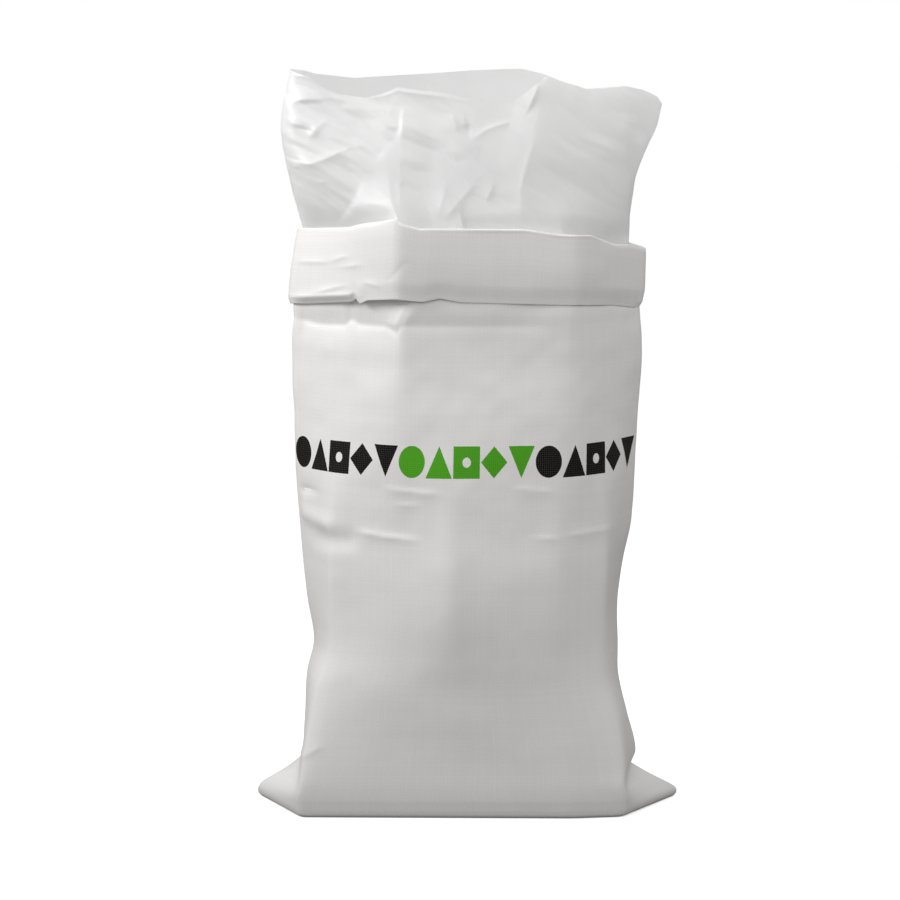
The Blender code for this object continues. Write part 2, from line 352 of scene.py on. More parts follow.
WALL_STEP = 0.0028
foot_heights = [0, 0.0012, 0.003, 0.0045, 0.006, 0.008, 0.010, 0.012, 0.014, 0.017, 0.020, 0.0235, 0.027]
wall_heights = np.concatenate([foot_heights, np.arange(0.0300, CUFF_TOP, WALL_STEP), [CUFF_TOP]])
mouth = sections[-1]
under_cuff = sections[-2]
crest = front_and_back(mouth[:, 0], CREST_FRONT, CREST_BACK)
hem = front_and_back(under_cuff[:, 0], HEM_FRONT, HEM_BACK)
sack_rings = lifted(wall(wall_heights), crest)

# The underside, from near its middle out to the wall, then round over the fold at the mouth.
floor_shares = [0.04, 0.25, 0.45, 0.62, 0.77, 0.89, 0.96]
middle = sack_rings[0].mean(axis=0)
underside = np.array([middle + (sack_rings[0] - middle) * share for share in floor_shares])
fold_rings = []
facing = outward(mouth[None])[0]
for turn in (30, 60, 90, 120, 150, 180):
    swing = math.radians(turn)
    reach = FOLD_RADIUS * (1 - math.cos(swing))
    rise = FOLD_RADIUS * math.sin(swing)
    fold_rings.append(np.column_stack([mouth + facing * reach, crest - FOLD_RADIUS + rise]))

# The cuff hangs outside the wall and flares a little at the left. Its hem is rolled, and curls right under at
# the left. Each step of the roll is a drop below the hem and a tuck in towards the wall.
FLAP_RINGS = 46
CURL_DEPTH = 0.0070
HEM_ROLL = [
    (0.0014, 0.0006), (0.0020, 0.0020), (0.0012, 0.0034), (-0.0020, 0.0042), (-0.0060, 0.0042),
    (-0.0100, 0.0040),
]
leftness = ramp(-mouth[:, 0], -0.02, 0.10)
flare = -0.0022 + 0.0062 * leftness
flap = []
for share in np.linspace(0, 1, FLAP_RINGS + 1)[1:]:
    section = mouth + (under_cuff - mouth) * share
    clear = 2 * FOLD_RADIUS + flare * share + 0.0016 * math.sin(math.pi * share)
    height = crest - FOLD_RADIUS + (hem - crest + FOLD_RADIUS) * share
    flap.append(np.column_stack([section + outward(section[None])[0] * clear[:, None], height]))
flap = np.array(flap)
flap_x = flap[..., 0]
flap_z = flap[..., 2]
flap_u = np.broadcast_to(shares[None, :], flap_x.shape)
flap_front = ramp(0.25 - np.abs(flap_u - 0.25), 0.0, 0.02)
flap_marks = [
    ([(-0.2060, 0.6600), (-0.1686, 0.6617)], 0.0013, 0.0035, 0.0018, 1.0),
    ([(-0.1600, 0.6645), (-0.1464, 0.6689)], 0.0016, 0.0030, 0.0018, 1.0),
    ([(-0.1465, 0.6571), (-0.1283, 0.6605)], 0.0013, 0.0030, 0.0018, 1.0),
    ([(-0.1188, 0.6401), (-0.1069, 0.6372)], 0.0014, 0.0030, 0.0018, 1.0),
    ([(-0.1810, 0.6255), (-0.1470, 0.6350)], 0.0016, 0.0040, 0.0020, 1.0),
    ([(-0.0929, 0.6456), (-0.0850, 0.6540), (-0.0743, 0.6656)], -0.0012, 0.0020, 0.0030, 1.0),
]
out = 0.0008 * soft_noise(flap_u, flap_z, 9, 0.05, 21)
out += 0.0005 * soft_noise(flap_u + 0.2 * flap_z, flap_z, 30, 0.025, 22)
for line, height, above, below, power in flap_marks:
    out += flap_front * fold(flap_x, flap_z, line, height, above, below, power)
curl = ramp(-flap_x, 0.122, 0.150) * flap_front + 0.4 * (1 - flap_front)
over_hem = flap_z - hem[None, :]
under = 1 - np.clip(over_hem / CURL_DEPTH, 0, 1)
out += curl * (0.0018 * np.exp(-np.abs(over_hem - CURL_DEPTH) / 0.0040) - 0.0056 * under**1.2)
out += (1 - curl) * -0.0028 * (1 - ramp(over_hem, 0.0, 0.022))
flap[..., :2] += outward(flap) * out[..., None]
hem_rings = []
thick = 0.25 + 0.75 * curl[-1]
for drop, tuck in HEM_ROLL:
    last = flap[-1].copy()
    last[:, :2] -= outward(last[None])[0] * (tuck * thick)[:, None]
    last[:, 2] -= drop * thick
    hem_rings.append(last)

rings = np.concatenate([underside, sack_rings, np.array(fold_rings), flap, np.array(hem_rings)])


def run_along(rings):
    """How far each ring lies along the sheet from its first ring, on average round it."""
    steps = np.linalg.norm(np.diff(rings, axis=0), axis=-1).mean(axis=1)
    return np.concatenate([[0.0], np.cumsum(steps)])


# The way up the cloth is set to give the true height at the middle of the print.
PRINT_MIDDLE = 0.4315
run = run_along(rings)
print_level = int(np.argmin(np.abs(wall_heights - PRINT_MIDDLE)))
cloth_run = run - run[len(floor_shares) + print_level] + wall_heights[print_level]


def ring_mesh(name, rings, cloth_run, low_hub=None, high_hub=None, map_name="cloth"):
    """A sheet through rings of points, with one map that opens it flat and one in metres of its own cloth."""
    count, around_count = rings.shape[:2]
    points = rings.reshape(-1, 3)
    r, i = np.meshgrid(np.arange(count - 1), np.arange(around_count), indexing="ij")
    j = (i + 1) % around_count
    here = r * around_count
    above = here + around_count
    quads = np.stack([here + i, here + j, above + j, above + i], axis=-1).reshape(-1, 4)
    edge = np.append(shares, 1.0)
    flat = np.linspace(0.004, 0.996, count)
    u0, u1 = edge[i].ravel(), edge[i + 1].ravel()
    v0, v1 = r.ravel(), r.ravel() + 1
    corners_u = np.stack([u0, u1, u1, u0], axis=-1)
    corners_v = np.stack([v0, v0, v1, v1], axis=-1)
    loops = [quads.reshape(-1)]
    sizes = [np.full(len(quads), 4)]
    opened = [np.stack([corners_u, flat[corners_v]], axis=-1).reshape(-1, 2)]
    metres = [np.stack([corners_u * GIRTH, cloth_run[corners_v]], axis=-1).reshape(-1, 2)]
    ring = np.arange(around_count)
    after = (ring + 1) % around_count
    for hub, up, at in ((low_hub, False, 0), (high_hub, True, count - 1)):
        if hub is None:
            continue
        base = at * around_count
        points = np.vstack([points, hub])
        peak = np.full(around_count, len(points) - 1)
        order = [base + ring, base + after, peak] if up else [base + after, base + ring, peak]
        loops.append(np.stack(order, axis=-1).reshape(-1))
        sizes.append(np.full(around_count, 3))
        a, b = (edge[:-1], edge[1:]) if up else (edge[1:], edge[:-1])
        tip = 1.0 if up else 0.0
        tri_u = np.stack([a, b, (a + b) / 2], axis=-1)
        tri_v = np.tile([flat[at], flat[at], tip], (around_count, 1))
        opened.append(np.stack([tri_u, tri_v], axis=-1).reshape(-1, 2))
        metres.append(np.stack([tri_u * GIRTH, np.full(tri_u.shape, cloth_run[at])], axis=-1).reshape(-1, 2))
    loops, sizes = np.concatenate(loops), np.concatenate(sizes)
    mesh = bpy.data.meshes.new(name)
    mesh.vertices.add(len(points))
    mesh.vertices.foreach_set("co", points.astype(np.float32).ravel())
    mesh.loops.add(len(loops))
    mesh.loops.foreach_set("vertex_index", loops.astype(np.int32))
    mesh.polygons.add(len(sizes))
    mesh.polygons.foreach_set("loop_start", np.concatenate([[0], np.cumsum(sizes)[:-1]]).astype(np.int32))
    mesh.polygons.foreach_set("loop_total", sizes.astype(np.int32))
    mesh.update(calc_edges=True)
    for layer, values in ((map_name, metres), ("OFBake", opened)):
        mesh.uv_layers.new(name=layer)
        mesh.uv_layers[layer].data.foreach_set("uv", np.concatenate(values).astype(np.float32).ravel())
    mesh.uv_layers.active = mesh.uv_layers["OFBake"]
    mesh.validate()
    mesh.shade_smooth()
    piece = bpy.data.objects.new(name, mesh)
    bpy.context.scene.collection.objects.link(piece)
    return piece


sack = ring_mesh("woven_sack", rings, cloth_run, low_hub=middle)


def linear(hex_colour):
    """An sRGB hex colour as linear red, green, blue and 1."""
    parts = [int(hex_colour[i : i + 2], 16) / 255 for i in (1, 3, 5)]
    return [p / 12.92 if p <= 0.04045 else ((p + 0.055) / 1.055) ** 2.4 for p in parts] + [1.0]


def add_node(tree, kind, inputs=None, output=0, **settings):
    """Adds a node with its settings, and values or feeding sockets for its inputs. Gives one of its outputs,
    or the node itself where it has none."""
    made = tree.nodes.new("ShaderNode" + kind)
    for name, value in settings.items():
        setattr(made, name, value)
    for socket, value in (inputs or {}).items():
        if isinstance(value, bpy.types.NodeSocket):
            tree.links.new(value, made.inputs[socket])
        else:
            made.inputs[socket].default_value = value
    return made.outputs[output] if made.outputs else made


def new_material(name):
    """An empty node material."""
    material = bpy.data.materials.new(name)
    material.use_nodes = True
    material.node_tree.nodes.clear()
    return material, material.node_tree


# Woven polypropylene tape: flat, slightly glossy ribbons 2.5 mm wide that pass over and under each other.
# They give the eye a fine square relief with a satin sheen, and let a little light through.
TAPE = 0.0025
woven, tree = new_material("woven_polypropylene_tape")
cloth = add_node(tree, "UVMap", uv_map="cloth")
across = add_node(tree, "SeparateXYZ", {0: cloth}, output=0)
up = across.node.outputs[1]
warp_at = add_node(tree, "Math", {0: across, 1: TAPE}, operation="DIVIDE")
weft_at = add_node(tree, "Math", {0: up, 1: TAPE}, operation="DIVIDE")
warp_number = add_node(tree, "Math", {0: warp_at}, operation="FLOOR")
weft_number = add_node(tree, "Math", {0: weft_at}, operation="FLOOR")
both = add_node(tree, "Math", {0: warp_number, 1: weft_number}, operation="ADD")
warp_over = add_node(tree, "Math", {0: both, 1: 2.0}, operation="FLOORED_MODULO")
tape_profiles = []
for at in (warp_at, weft_at):
    part = add_node(tree, "Math", {0: at}, operation="FRACT")
    centred = add_node(tree, "Math", {0: part, 1: 2.0, 2: -1.0}, operation="MULTIPLY_ADD")
    square = add_node(tree, "Math", {0: centred, 1: centred}, operation="MULTIPLY")
    fourth = add_node(tree, "Math", {0: square, 1: square}, operation="MULTIPLY")
    flat_tape = add_node(tree, "Math", {0: 1.0, 1: fourth}, operation="SUBTRACT")
    arch = add_node(tree, "Math", {0: square, 1: -0.6, 2: 1.0}, operation="MULTIPLY_ADD")
    tape_profiles.append((flat_tape, arch))
warp_height = add_node(tree, "Math", {0: tape_profiles[0][0], 1: tape_profiles[1][1]}, operation="MULTIPLY")
weft_height = add_node(tree, "Math", {0: tape_profiles[1][0], 1: tape_profiles[0][1]}, operation="MULTIPLY")
tape_height = add_node(tree, "Mix", {0: warp_over, 2: weft_height, 3: warp_height}, data_type="FLOAT")

# Each tape is drawn to its own thickness, so some are a shade whiter than their neighbours.
warp_shade = add_node(tree, "TexWhiteNoise", {"W": warp_number}, noise_dimensions="1D")
weft_shade = add_node(tree, "TexWhiteNoise", {"W": weft_number}, noise_dimensions="1D")
tape_shade = add_node(tree, "Mix", {0: warp_over, 2: weft_shade, 3: warp_shade}, data_type="FLOAT")
patchy = add_node(tree, "TexNoise", {"Vector": cloth, "Scale": 9.0, "Detail": 3.0}, noise_dimensions="2D")
shade = add_node(tree, "Math", {0: tape_shade, 1: 0.35, 2: patchy}, operation="MULTIPLY_ADD")
# Where the tapes dip under each other the colour is a shade darker: painted shade in the gaps between the
# tapes.
painted_groove_shade = add_node(tree, "MapRange", {0: tape_height, 1: 0.0, 2: 0.55, 3: 0.0, 4: 1.0})
bright_tape = add_node(tree, "Mix", {0: shade, 6: linear("#E5E3E1"), 7: linear("#EEEDEC")}, output=2,
                       data_type="RGBA")
cloth_colour = add_node(tree, "Mix", {0: painted_groove_shade, 6: linear("#DFDDDB"), 7: bright_tape}, output=2,
                        data_type="RGBA")

# The bottom few centimetres are painted a little darker: painted shade where the cloth curves under to the
# floor.
painted_low_shade = add_node(tree, "MapRange", {0: up, 1: 0.012, 2: 0.045, 3: 0.90, 4: 1.0})
shaded_low_cloth = add_node(tree, "HueSaturation", {"Value": painted_low_shade, "Color": cloth_colour})

# The print: flexo ink laid on the tapes, dull, and worn through a little between them. It is one row of plain
# shapes round the front, in three fields of colour.
PRINT_PITCH = 0.0328
PRINT_HALF_WIDTH = 0.0158
PRINT_HALF_HEIGHT = 0.0190
PRINT_FIELD = 5
GREEN_FIELD_X = [-0.0800, 0.0755]
front_count = int(np.searchsorted(shares, 0.5))
print_x = sack_rings[print_level, :front_count, 0]
green_start, green_end = np.interp(GREEN_FIELD_X, print_x, shares[:front_count])
PRINT_START = 0.5 * (green_start + green_end) * GIRTH - 1.5 * PRINT_FIELD * PRINT_PITCH
wobble = add_node(tree, "TexNoise", {"Vector": cloth, "Scale": 700.0, "Detail": 1.0}, noise_dimensions="2D")
rough_edge = add_node(tree, "Math", {0: wobble, 1: 0.0006, 2: -0.0003}, operation="MULTIPLY_ADD")
ink_across = add_node(tree, "Math", {0: across, 1: rough_edge}, operation="ADD")
ink_up = add_node(tree, "Math", {0: up, 1: rough_edge}, operation="ADD")
cell_at = add_node(tree, "MapRange", {0: ink_across, 1: PRINT_START, 2: PRINT_START + PRINT_PITCH},
                   clamp=False)
cell_number = add_node(tree, "Math", {0: cell_at}, operation="FLOOR")
cell_part = add_node(tree, "Math", {0: cell_at}, operation="FRACT")
cell_width = PRINT_PITCH / PRINT_HALF_WIDTH
shape_x = add_node(tree, "Math", {0: cell_part, 1: cell_width, 2: -cell_width / 2}, operation="MULTIPLY_ADD")
shape_y = add_node(tree, "MapRange", {0: ink_up, 1: PRINT_MIDDLE, 2: PRINT_MIDDLE + PRINT_HALF_HEIGHT},
                   clamp=False)
far_x = add_node(tree, "Math", {0: shape_x}, operation="ABSOLUTE")
far_y = add_node(tree, "Math", {0: shape_y}, operation="ABSOLUTE")
x_square = add_node(tree, "Math", {0: shape_x, 1: shape_x}, operation="MULTIPLY")
disc = add_node(tree, "Math", {0: shape_y, 1: shape_y, 2: x_square}, operation="MULTIPLY_ADD")
diamond = add_node(tree, "Math", {0: far_x, 1: far_y}, operation="ADD")
block = add_node(tree, "Math", {0: far_x, 1: far_y}, operation="MAXIMUM")
triangles = []
for direction in (0.5, -0.5):
    narrowing = add_node(tree, "Math", {0: shape_y, 1: direction, 2: 0.5}, operation="MULTIPLY_ADD")
    sides = add_node(tree, "Math", {0: far_x, 1: narrowing}, operation="ADD")
    triangles.append(add_node(tree, "Math", {0: sides, 1: far_y}, operation="MAXIMUM"))
shapes = [disc, triangles[0], block, diamond, triangles[1]]
kind = add_node(tree, "Math", {0: cell_number, 1: len(shapes)}, operation="FLOORED_MODULO")
outline = shapes[0]
for number, shape in enumerate(shapes[1:], start=1):
    chosen = add_node(tree, "Math", {0: kind, 1: float(number), 2: 0.5}, operation="COMPARE")
    outline = add_node(tree, "Mix", {0: chosen, 2: outline, 3: shape}, data_type="FLOAT")
filled = add_node(tree, "Math", {0: outline, 1: 1.0}, operation="LESS_THAN")
hole = add_node(tree, "Math", {0: disc, 1: 0.10}, operation="LESS_THAN")
is_block = add_node(tree, "Math", {0: kind, 1: float(shapes.index(block)), 2: 0.5}, operation="COMPARE")
hole_here = add_node(tree, "Math", {0: hole, 1: is_block}, operation="MULTIPLY")
pierced = add_node(tree, "Math", {0: 1.0, 1: hole_here}, operation="SUBTRACT")
middle_cell = float(PRINT_FIELD + PRINT_FIELD // 2)
in_row = add_node(tree, "Math", {0: cell_number, 1: middle_cell, 2: 1.5 * PRINT_FIELD}, operation="COMPARE")
inked = add_node(tree, "Math", {0: filled, 1: in_row}, operation="MULTIPLY")
inked = add_node(tree, "Math", {0: inked, 1: pierced}, operation="MULTIPLY")
in_green = add_node(tree, "Math", {0: cell_number, 1: middle_cell, 2: 0.5 * PRINT_FIELD}, operation="COMPARE")
ink = add_node(tree, "Mix", {0: in_green, 6: linear("#0B0A07"), 7: linear("#4CA416")}, output=2,
               data_type="RGBA")
worn = add_node(tree, "MapRange", {0: tape_height, 1: 0.0, 2: 0.35, 3: 0.82, 4: 1.0})
ink_cover = add_node(tree, "Math", {0: inked, 1: worn}, operation="MULTIPLY")
# The cloth colour here carries the painted shade near the floor and in the gaps between the tapes.
surface_colour = add_node(tree, "Mix", {0: ink_cover, 6: shaded_low_cloth, 7: ink}, output=2, data_type="RGBA")

relief = add_node(tree, "Bump", {"Strength": 0.14, "Distance": 0.0005, "Height": tape_height})
sheen_of_tape = add_node(tree, "MapRange", {0: tape_shade, 1: 0.0, 2: 1.0, 3: 0.42, 4: 0.54})
gloss = add_node(tree, "MapRange", {0: ink_cover, 1: 0.0, 2: 1.0, 3: 0.5, 4: 0.12})
face = add_node(tree, "BsdfPrincipled", {
    "Base Color": surface_colour, "Roughness": sheen_of_tape, "IOR": 1.49, "Specular IOR Level": gloss,
    "Normal": relief,
})
glow = add_node(tree, "BsdfTranslucent", {"Color": surface_colour, "Normal": relief})
tape_cloth = add_node(tree, "MixShader", {0: 0.10, 1: face, 2: glow})
add_node(tree, "OutputMaterial", {"Surface": tape_cloth})
sack.data.materials.append(woven)
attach(sack, "root")
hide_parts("sack")


# ---------------------------------------------------------------- the film bag
# A loose bag of thin blown polythene that keeps the sugar dry. It lines the sack, comes up through the mouth
# and stands open above the cuff, soft and crumpled, its back rim higher than its front.

RIM_BACK = [
    (-0.2154, 0.8890), (-0.1949, 0.8862), (-0.1816, 0.8826), (-0.1368, 0.8778), (-0.0775, 0.8814),
    (-0.0460, 0.8832), (0.0024, 0.8867), (0.0629, 0.8890), (0.0908, 0.8826), (0.1138, 0.8730),
    (0.1320, 0.8682), (0.1405, 0.8646), (0.1575, 0.8658), (0.1890, 0.8682), (0.2096, 0.8634),
    (0.2242, 0.8562), (0.2300, 0.8466),
]
RIM_FRONT = [
    (-0.2154, 0.8890), (-0.2020, 0.8830), (-0.1887, 0.8793), (-0.1541, 0.8587), (-0.1216, 0.8541),
    (-0.1019, 0.8587), (-0.0833, 0.8667), (-0.0659, 0.8644), (-0.0299, 0.8598), (0.0084, 0.8518),
    (0.0316, 0.8472), (0.0548, 0.8506), (0.0652, 0.8587), (0.0779, 0.8690), (0.0908, 0.8795),
    (0.1138, 0.8715), (0.1320, 0.8668), (0.1405, 0.8632), (0.1575, 0.8642), (0.1890, 0.8668),
    (0.2096, 0.8620), (0.2242, 0.8552), (0.2300, 0.8466),
]
FILM_CLEAR = 0.0022
FILM_GAP_AT_MOUTH = 0.0035


def facets(x, z, size, seed):
    """Random flat facets that meet along creases, as in a crushed sheet, from -1 to 1."""
    rows = 64
    table = np.random.default_rng(seed).uniform(-1, 1, (rows, rows))
    a = (x + 0.577 * z) / size + 20  # on a grid of even triangles
    b = 1.1547 * z / size + 3
    column = np.floor(a).astype(int)
    row = np.floor(b).astype(int)
    a_part = a - column
    b_part = b - row
    corner = [[table[(column + i) % rows, (row + j) % rows] for j in (0, 1)] for i in (0, 1)]
    near = corner[0][0] + a_part * (corner[1][0] - corner[0][0]) + b_part * (corner[0][1] - corner[0][0])
    far = corner[1][1] + (1 - a_part) * (corner[0][1] - corner[1][1])
    far += (1 - b_part) * (corner[1][0] - corner[1][1])
    return np.where(a_part + b_part < 1, near, far)


# Inside the sack the film lies just off the wall, and it bridges the folds at the heel and under the cuff.
film_heights = np.concatenate([
    [0.0016, 0.012, 0.026], np.arange(0.044, 0.66, 0.012), np.arange(0.66, 0.699, 0.006),
])
film_clear = FILM_CLEAR + 0.007 * (1 - ramp(film_heights, 0.05, 0.10))
film_clear += 0.006 * ramp(film_heights, 0.55, 0.58) * (1 - ramp(film_heights, 0.67, 0.69))
lining = wall(film_heights, clear=film_clear[:, None])
corner_round = laid_round(oval(0.170, 0.170, 0.075, 0.8), shares)
heel_round = laid_round(oval(0.196, 0.190, 0.098, 0.85), shares)
lining[0, :, :2] = corner_round
lining[1, :, :2] = (corner_round + heel_round) / 2
lining[2, :, :2] = heel_round
lining = lifted(lining, crest)

# Above the mouth it stands free: the share of the rise, then the reach to the left and the right, the depth
# and how far the ends are drawn out to points.
FILM_ABOVE = [
    (0.30, 0.2125, 0.1940, 0.074, 1.10),
    (0.50, 0.2190, 0.1995, 0.067, 1.13),
    (0.70, 0.2215, 0.2125, 0.058, 1.16),
    (0.85, 0.2170, 0.2240, 0.050, 1.18),
    (1.00, 0.2110, 0.2300, 0.044, 1.20),
]
neck = mouth * np.where(mouth[:, :1] > 0, 0.938, 1.0)
neck = neck - outward(neck[None])[0] * FILM_GAP_AT_MOUTH
above_sections = [neck] + [laid_round(oval(*row[1:]), shares) for row in FILM_ABOVE]
rim_x = above_sections[-1][:, 0]
front_rim = np.interp(rim_x, *np.array(RIM_FRONT).T)
back_rim = np.interp(rim_x, *np.array(RIM_BACK).T)
rim = np.where(shares < 0.5, front_rim, back_rim)
rise = np.linspace(0, 1, 111)
standing = smooth_through(rise, [0.0] + [row[0] for row in FILM_ABOVE], np.array(above_sections))
start = crest - 0.004
film_z = start[None, :] + (rim - start)[None, :] * rise[:, None]
film_x = standing[..., 0]
film_u = np.broadcast_to(shares[None, :], film_z.shape)
free = ramp(rise, 0.0, 0.18)[:, None]
film_front = ramp(0.25 - np.abs(film_u - 0.25), 0.0, 0.03)

# It has been crushed into facets of three sizes, the small ones mostly at the left.
left_side = 1 - ramp(film_x, -0.10, 0.05)
crushed_x = film_x + 0.010 * soft_noise(film_u, film_z, 18, 0.05, 31)
crushed_z = film_z + 0.010 * soft_noise(film_u, film_z, 18, 0.05, 32)
crumple = 0.0028 * facets(crushed_x, crushed_z, 0.065, 38)
crumple += (0.0010 + 0.0016 * left_side) * facets(crushed_x, crushed_z, 0.027, 34)
crumple += (0.0003 + 0.0006 * left_side) * facets(crushed_x, crushed_z, 0.011, 35)


def crease(x, z, points, height, one_side, other_side):
    """A sharp crease along a run of (x, z) points, falling away to each side and tapering at both ends."""
    points = np.array(points)
    total = np.hypot(*np.diff(points, axis=0).T).sum()
    nearest = np.full(x.shape, 9.0)
    lift = np.zeros(x.shape)
    travelled = 0.0
    for start, end in zip(points[:-1], points[1:]):
        length = math.hypot(*(end - start))
        run_x, run_z = (end - start) / length
        along = np.clip((x - start[0]) * run_x + (z - start[1]) * run_z, 0, length)
        off_x = x - start[0] - along * run_x
        off_z = z - start[1] - along * run_z
        away = np.hypot(off_x, off_z)
        reach = np.where(off_z * run_x - off_x * run_z > 0, one_side, other_side)
        taper = 0.25 + 0.75 * np.sin(math.pi * (travelled + along) / total)
        lift = np.where(away < nearest, height * taper * np.exp(-away / reach), lift)
        nearest = np.minimum(nearest, away)
        travelled += length
    return lift


# Its small folds, each a run of points, a height, and a reach above or left of it and below or right of it.
FILM_FOLDS = [
    ([(-0.2100, 0.8800), (-0.1907, 0.8790), (-0.1740, 0.8710), (-0.1557, 0.8600)], 0.0050, 0.0080, 0.0025),
    ([(-0.2080, 0.8720), (-0.1950, 0.8690), (-0.1768, 0.8600)], -0.0030, 0.0030, 0.0050),
    ([(-0.2109, 0.8482), (-0.1900, 0.8520), (-0.1733, 0.8517)], 0.0055, 0.0120, 0.0022),
    ([(-0.2088, 0.8265), (-0.1935, 0.8214)], 0.0035, 0.0035, 0.0050),
    ([(-0.2018, 0.8191), (-0.1830, 0.8150)], -0.0035, 0.0040, 0.0030),
    ([(-0.1842, 0.8074), (-0.1760, 0.8190), (-0.1688, 0.8249)], 0.0040, 0.0050, 0.0030),
    ([(-0.2128, 0.7810), (-0.1849, 0.7765), (-0.1650, 0.7840), (-0.1382, 0.7970)], 0.0055, 0.0050, 0.0100),
    ([(-0.2081, 0.7735), (-0.1986, 0.7735)], 0.0016, 0.0020, 0.0020),
    ([(-0.1787, 0.7559), (-0.1693, 0.7559)], 0.0014, 0.0020, 0.0020),
    ([(-0.0371, 0.7131), (-0.0253, 0.7552)], 0.0032, 0.0100, 0.0060),
    ([(-0.0336, 0.7096), (0.0064, 0.7541)], 0.0034, 0.0120, 0.0070),
    ([(0.0193, 0.7330), (0.0287, 0.7541)], 0.0020, 0.0060, 0.0040),
    ([(-0.0124, 0.8146), (-0.0195, 0.8378)], 0.0030, 0.0070, 0.0030),
    ([(-0.0031, 0.8193), (-0.0078, 0.8378)], 0.0022, 0.0060, 0.0025),
    ([(0.0004, 0.8088), (0.0004, 0.8239)], -0.0030, 0.0060, 0.0030),
    ([(0.0051, 0.8077), (0.0215, 0.8181), (0.0554, 0.8286)], 0.0035, 0.0040, 0.0080),
    ([(0.0629, 0.7096), (0.0592, 0.7471), (0.0662, 0.7739), (0.0743, 0.7984)], 0.0030, 0.0050, 0.0120),
    ([(0.1887, 0.7767), (0.1810, 0.8377)], 0.0050, 0.0180, 0.0100),
    ([(0.2062, 0.8014), (0.2059, 0.8248)], -0.0050, 0.0070, 0.0070),
    ([(0.0700, 0.8400), (0.0821, 0.8691)], 0.0060, 0.0100, 0.0030),
    ([(-0.1216, 0.8541), (-0.1019, 0.8560), (-0.0833, 0.8620), (-0.0299, 0.8560), (0.0084, 0.8480)],
     0.0022, 0.0030, 0.0030),
]

# A big three-cornered pleat stands at the left of the middle: (x, z) points up its sloping left side, and a
# sharp upright edge for its right side. The film is pulled smooth across it.
PLEAT_LEFT = [
    (-0.160, 0.7071), (-0.150, 0.7199), (-0.133, 0.7432), (-0.110, 0.7826), (-0.089, 0.8057),
    (-0.078, 0.8449),
]
PLEAT_RIGHT = -0.0777
pleat_x, pleat_z = np.array(PLEAT_LEFT).T
pleat_left = np.interp(film_z, pleat_z, pleat_x)
pleat_width = np.maximum(PLEAT_RIGHT - pleat_left, 0.004)
across_pleat = np.clip((film_x - pleat_left) / pleat_width, 0, 1)
edge = np.where(film_x < PLEAT_RIGHT, across_pleat, 1 - ramp(film_x, PLEAT_RIGHT, PLEAT_RIGHT + 0.040))
pleat = film_front * (0.0030 + 0.07 * pleat_width) * (edge - 1 + free) * (1 - ramp(film_z, 0.835, 0.850))
smooth = ramp(across_pleat, 0.0, 0.2) * (film_x < PLEAT_RIGHT) * (1 - ramp(film_z, 0.81, 0.85))
out = crumple * (0.35 + 0.65 * film_front) * (1 - 0.75 * smooth * film_front)
for points, height, one_side, other_side in FILM_FOLDS:
    out += film_front * crease(film_x, film_z, points, height, one_side, other_side)
standing = standing + outward(standing) * (out * free + pleat)[..., None]
standing = np.concatenate([standing, film_z[..., None]], axis=-1)
film_rings = np.concatenate([lining, standing])
film_hub = film_rings[0].mean(axis=0)
film = ring_mesh("film_bag", film_rings, run_along(film_rings), low_hub=film_hub, map_name="sheet")

# Polythene film, blown, milky and thin: it scatters most of the light both ways and lets the rest through,
# and its smooth skin throws small glints along the creases.
polythene, tree = new_material("milky_polythene_film")
sheet = add_node(tree, "UVMap", uv_map="sheet")
cloudy = add_node(tree, "TexNoise", {"Vector": sheet, "Scale": 14.0, "Detail": 3.0}, noise_dimensions="2D")
milk = add_node(tree, "Mix", {0: cloudy, 6: linear("#EEEFEF"), 7: linear("#F6F6F6")}, output=2,
                data_type="RGBA")
fine = add_node(tree, "TexNoise", {"Vector": sheet, "Scale": 60.0, "Detail": 4.0}, noise_dimensions="2D")
skin = add_node(tree, "Bump", {"Strength": 0.25, "Distance": 0.002, "Height": fine})
front_face = add_node(tree, "BsdfPrincipled", {
    "Base Color": milk, "Roughness": 0.36, "IOR": 1.51, "Normal": skin,
})
through = add_node(tree, "BsdfTranslucent", {"Color": milk, "Normal": skin})
milky = add_node(tree, "MixShader", {0: 0.38, 1: front_face, 2: through})
clear_part = add_node(tree, "BsdfTransparent", {"Color": linear("#F6F6F6")})
film_look = add_node(tree, "MixShader", {0: 0.04, 1: milky, 2: clear_part})
add_node(tree, "OutputMaterial", {"Surface": film_look})
film.data.materials.append(polythene)
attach(film, "root")
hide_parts("liner")


# ---------------------------------------------------------------- the sugar
# White granulated sugar, filling a little over half of the sack, its top lightly heaped and settled against
# the film all round. The heap is a relief of packed crystals, with loose crystals lying on it.

SUGAR_LEVEL = 0.395
SUGAR_CLEAR = 0.0014
SUGAR_REACH = (0.205, 0.118)  # half the width and the depth of its top

# Its sides fill the film, and keep off the folds at the heel as the film does.
side_heights = np.concatenate([[0.004, 0.026], np.arange(0.044, SUGAR_LEVEL - 0.005, 0.012), [SUGAR_LEVEL]])
side_clear = SUGAR_CLEAR + 0.007 * (1 - ramp(side_heights, 0.05, 0.10))
sides = wall(side_heights, clear=side_clear[:, None])
sides[0, :, :2] = corner_round * 0.97
sides[1, :, :2] = heel_round * 0.985
shore = sides[-1]
inward = np.linspace(1, 0.012, 84)[1:]


def heap(x, y):
    """How far the sugar's top stands above its level at the film."""
    reach = np.clip((x / SUGAR_REACH[0]) ** 2 + (y / SUGAR_REACH[1]) ** 2, 0, 1)
    across = x / (2 * SUGAR_REACH[0]) + 0.5
    slow = 0.0035 * soft_noise(across, y, 6, 0.07, 41) + 0.0016 * soft_noise(across, y, 17, 0.025, 42)
    packed = 0.0004 * soft_noise(across, y, 140, 0.003, 43)
    return (0.012 + slow) * (1 - reach) ** 0.8 + packed * (1 - reach**6)


